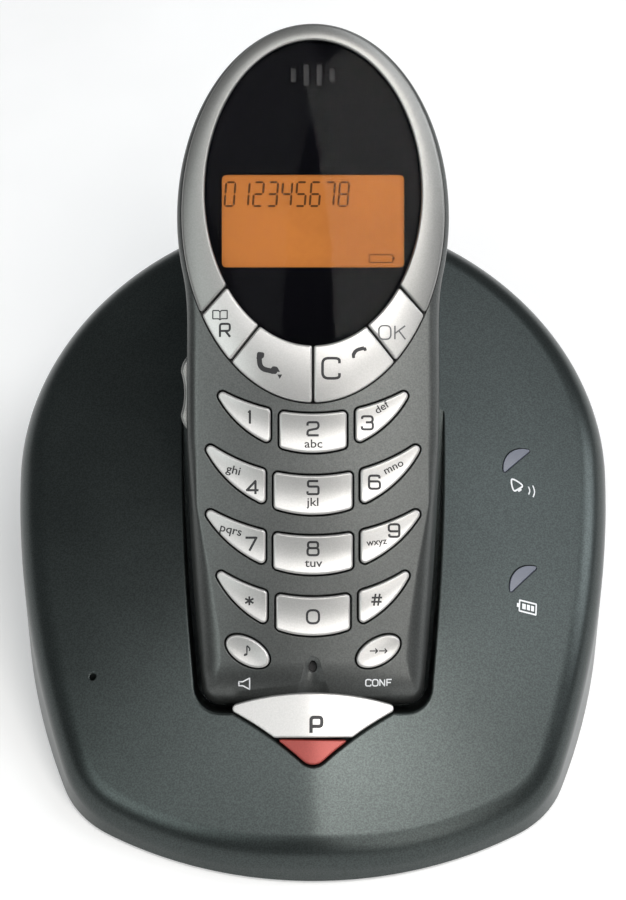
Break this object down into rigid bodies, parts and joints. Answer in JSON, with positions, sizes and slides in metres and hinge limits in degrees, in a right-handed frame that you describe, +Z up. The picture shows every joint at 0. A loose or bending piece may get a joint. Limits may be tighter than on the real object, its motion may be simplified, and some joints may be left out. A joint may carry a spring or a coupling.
{
  "type": "cordless phone",
  "caption": "Small cordless telephone handset with an oval display head and smile-shaped key rows, leaning in a domed charging base with a paging key.",
  "frame": {"origin": "on the table under the middle of the whole phone's bounding box", "axes": "+Z up, +Y towards the back of the base, +X to the right as seen by the user"},
  "size_m": [0.113, 0.1272, 0.1059],
  "materials": {
    "base_plastic": "satin, metallic flake",
    "handset_face_plastic": "satin, metallic flake",
    "handset_rear_plastic": "satin",
    "silver_plastic": "silver paint, satin",
    "red_plastic": "satin",
    "clear_lens": "polished",
    "black_film": "gloss",
    "display_glass": "lit amber",
    "black_rubber": "matt",
    "grey_rubber": "matt",
    "steel": "satin",
    "plated_contact": "bright plated",
    "circuit_board": "solder mask",
    "black_plastic": "matt",
    "smoked_lens": "smoked, polished",
    "cell_wrap": "gloss wrap"
  },
  "bodies": {
    "base": {"base_top_shell": "base_plastic", "base_bottom_cover": "base_plastic", "base_feet": "black_rubber", "base_screws": "steel", "base_circuit_board": "circuit_board", "base_radio_shield": "steel", "base_antenna": "circuit_board", "base_leds": "smoked_lens", "light_pipe_upper": "smoked_lens", "light_pipe_lower": "smoked_lens", "base_buzzer": "black_plastic", "contact_holder": "black_plastic", "charge_contacts": "plated_contact", "line_jack": "black_plastic", "power_jack": "black_plastic", "paging_switch": "black_plastic"},
    "handset": {"handset_front_shell": "handset_face_plastic", "handset_rear_shell": "handset_rear_plastic", "battery_cover": "handset_rear_plastic", "bezel_ring": "silver_plastic", "display_window": "clear_lens", "window_mask": "black_film", "lcd_module": "display_glass", "earpiece_speaker": "black_plastic", "key_mat": "grey_rubber", "handset_circuit_board": "circuit_board", "handset_radio_shield": "steel", "microphone": "black_plastic", "battery_cells": "cell_wrap", "battery_contacts": "steel", "handset_charge_pads": "plated_contact", "ringer_speaker": "black_plastic", "handset_screws": "steel"},
    "paging_key": {"paging_key": "silver_plastic", "paging_key_tip": "red_plastic"},
    "volume_rocker": {"volume_rocker": "silver_plastic"},
    "key_1": {"key_1": "silver_plastic"},
    "key_2": {"key_2": "silver_plastic"},
    "key_3": {"key_3": "silver_plastic"},
    "key_4": {"key_4": "silver_plastic"},
    "key_5": {"key_5": "silver_plastic"},
    "key_6": {"key_6": "silver_plastic"},
    "key_7": {"key_7": "silver_plastic"},
    "key_8": {"key_8": "silver_plastic"},
    "key_9": {"key_9": "silver_plastic"},
    "key_star": {"key_star": "silver_plastic"},
    "key_0": {"key_0": "silver_plastic"},
    "key_hash": {"key_hash": "silver_plastic"},
    "key_ringer": {"key_ringer": "silver_plastic"},
    "key_conference": {"key_conference": "silver_plastic"},
    "key_phonebook": {"key_phonebook": "silver_plastic"},
    "key_talk": {"key_talk": "silver_plastic"},
    "key_clear": {"key_clear": "silver_plastic"},
    "key_ok": {"key_ok": "silver_plastic"}
  },
  "joints": [
    {"name": "handset_lift", "type": "slide", "parent": "base", "child": "handset", "axis": [0, 0.7431, 0.6691], "range_m": [0, 0.07]},
    {"name": "key_1_press", "type": "slide", "parent": "handset", "child": "key_1", "axis": [0, 0.6691, -0.7431], "range_m": [0, 0.0005], "stiffness_N_per_m": 200, "springref_m": -0.001},
    {"name": "key_2_press", "type": "slide", "parent": "handset", "child": "key_2", "axis": [0, 0.6691, -0.7431], "range_m": [0, 0.0005], "stiffness_N_per_m": 200, "springref_m": -0.001},
    {"name": "key_3_press", "type": "slide", "parent": "handset", "child": "key_3", "axis": [0, 0.6691, -0.7431], "range_m": [0, 0.0005], "stiffness_N_per_m": 200, "springref_m": -0.001},
    {"name": "key_4_press", "type": "slide", "parent": "handset", "child": "key_4", "axis": [0, 0.6691, -0.7431], "range_m": [0, 0.0005], "stiffness_N_per_m": 200, "springref_m": -0.001},
    {"name": "key_5_press", "type": "slide", "parent": "handset", "child": "key_5", "axis": [0, 0.6691, -0.7431], "range_m": [0, 0.0005], "stiffness_N_per_m": 200, "springref_m": -0.001},
    {"name": "key_6_press", "type": "slide", "parent": "handset", "child": "key_6", "axis": [0, 0.6691, -0.7431], "range_m": [0, 0.0005], "stiffness_N_per_m": 200, "springref_m": -0.001},
    {"name": "key_7_press", "type": "slide", "parent": "handset", "child": "key_7", "axis": [0, 0.6691, -0.7431], "range_m": [0, 0.0005], "stiffness_N_per_m": 200, "springref_m": -0.001},
    {"name": "key_8_press", "type": "slide", "parent": "handset", "child": "key_8", "axis": [0, 0.6691, -0.7431], "range_m": [0, 0.0005], "stiffness_N_per_m": 200, "springref_m": -0.001},
    {"name": "key_9_press", "type": "slide", "parent": "handset", "child": "key_9", "axis": [0, 0.6691, -0.7431], "range_m": [0, 0.0005], "stiffness_N_per_m": 200, "springref_m": -0.001},
    {"name": "key_star_press", "type": "slide", "parent": "handset", "child": "key_star", "axis": [0, 0.6691, -0.7431], "range_m": [0, 0.0005], "stiffness_N_per_m": 200, "springref_m": -0.001},
    {"name": "key_0_press", "type": "slide", "parent": "handset", "child": "key_0", "axis": [0, 0.6691, -0.7431], "range_m": [0, 0.0005], "stiffness_N_per_m": 200, "springref_m": -0.001},
    {"name": "key_hash_press", "type": "slide", "parent": "handset", "child": "key_hash", "axis": [0, 0.6691, -0.7431], "range_m": [0, 0.0005], "stiffness_N_per_m": 200, "springref_m": -0.001},
    {"name": "key_ringer_press", "type": "slide", "parent": "handset", "child": "key_ringer", "axis": [0, 0.6691, -0.7431], "range_m": [0, 0.0005], "stiffness_N_per_m": 200, "springref_m": -0.001},
    {"name": "key_conference_press", "type": "slide", "parent": "handset", "child": "key_conference", "axis": [0, 0.6691, -0.7431], "range_m": [0, 0.0005], "stiffness_N_per_m": 200, "springref_m": -0.001},
    {"name": "key_phonebook_press", "type": "slide", "parent": "handset", "child": "key_phonebook", "axis": [0, 0.6691, -0.7431], "range_m": [0, 0.0005], "stiffness_N_per_m": 200, "springref_m": -0.001},
    {"name": "key_talk_press", "type": "slide", "parent": "handset", "child": "key_talk", "axis": [0, 0.6691, -0.7431], "range_m": [0, 0.0005], "stiffness_N_per_m": 200, "springref_m": -0.001},
    {"name": "key_clear_press", "type": "slide", "parent": "handset", "child": "key_clear", "axis": [0, 0.6691, -0.7431], "range_m": [0, 0.0005], "stiffness_N_per_m": 200, "springref_m": -0.001},
    {"name": "key_ok_press", "type": "slide", "parent": "handset", "child": "key_ok", "axis": [0, 0.6691, -0.7431], "range_m": [0, 0.0005], "stiffness_N_per_m": 200, "springref_m": -0.001},
    {"name": "volume_rocker_turn", "type": "hinge", "parent": "handset", "child": "volume_rocker", "pos_m": [-0.02255, 0.00722, 0.05641], "axis": [0, -0.6691, 0.7431], "range_deg": [-3, 3], "stiffness_Nm_per_rad": 0.02},
    {"name": "paging_key_press", "type": "slide", "parent": "base", "child": "paging_key", "axis": [0, 0.6691, -0.7431], "range_m": [0, 0.0005], "stiffness_N_per_m": 300, "springref_m": -0.001}
  ]
}
